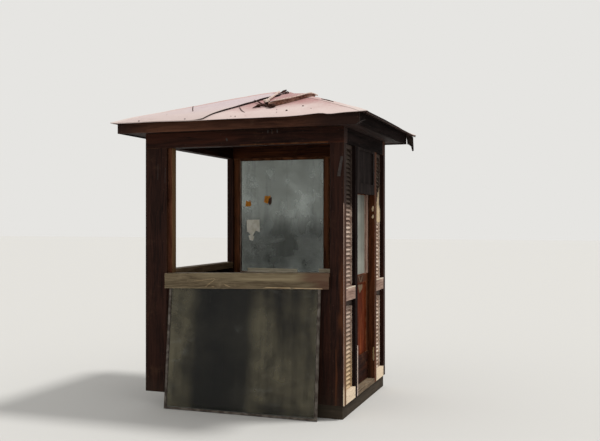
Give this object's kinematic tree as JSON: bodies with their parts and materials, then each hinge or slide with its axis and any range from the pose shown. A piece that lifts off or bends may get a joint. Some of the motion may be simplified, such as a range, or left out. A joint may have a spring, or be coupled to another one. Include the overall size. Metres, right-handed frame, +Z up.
{
  "type": "street kiosk",
  "caption": "Small timber street kiosk with a hipped sheet roof, an open serving window over a counter, louvred side panels and a half-glazed side door.",
  "frame": {"origin": "centre of the roof's plan, on the ground under the base frame", "axes": "+Z up; -Y is the front with the serving counter; +X is the side with the door"},
  "size_m": [2.225, 1.91, 2.7705],
  "materials": {
    "dark_timber": "matt",
    "red_timber": "satin",
    "weathered_timber": "matt",
    "louvre_timber": "matt",
    "base_timber": "matt",
    "roof_sheet": "matt",
    "window_glass": "gloss",
    "steel": "satin"
  },
  "bodies": {
    "structure": {"base_long_beams": "base_timber", "base_cross_beams": "base_timber", "floor": "weathered_timber", "front_left_post": "dark_timber", "front_right_post": "dark_timber", "back_left_post": "dark_timber", "back_right_post": "dark_timber", "front_corner_boards": "dark_timber", "back_corner_boards": "dark_timber", "door_post_front": "red_timber", "door_post_back": "red_timber", "front_header": "dark_timber", "back_header": "dark_timber", "left_header": "dark_timber", "right_header": "dark_timber", "counter_rail": "weathered_timber", "front_lower_boards": "dark_timber", "left_lower_boards": "dark_timber", "left_window_sill": "weathered_timber", "back_lower_boards": "dark_timber", "back_window_sill": "weathered_timber", "back_window_frame": "red_timber", "back_window_glass": "window_glass", "louvre_panel_front": "louvre_timber", "louvre_panel_back": "louvre_timber", "right_wall_rails": "louvre_timber", "door_threshold": "weathered_timber", "transom_panel": "dark_timber", "door_hinges": "steel", "loose_pane_frame": "steel", "loose_pane_glass": "window_glass", "ceiling_boards": "dark_timber", "front_roof_slope": "roof_sheet", "back_roof_slope": "roof_sheet", "left_roof_slope": "roof_sheet", "right_roof_slope": "roof_sheet", "roof_caps": "roof_sheet", "loose_roof_sheets": "roof_sheet", "loose_roof_lath": "weathered_timber", "fascia_long": "dark_timber", "fascia_short": "dark_timber", "ridge_board": "base_timber", "hip_rafters": "base_timber"},
    "door": {"door_leaf": "red_timber", "door_glass": "window_glass", "door_lower_panel": "red_timber", "door_hinge_leaves": "steel", "door_handle": "steel"}
  },
  "joints": [
    {"name": "door_swing", "type": "hinge", "parent": "structure", "child": "door", "pos_m": [0.7552, 0.3045, 1], "axis": [0, 0, -1], "range_deg": [0, 95]}
  ]
}
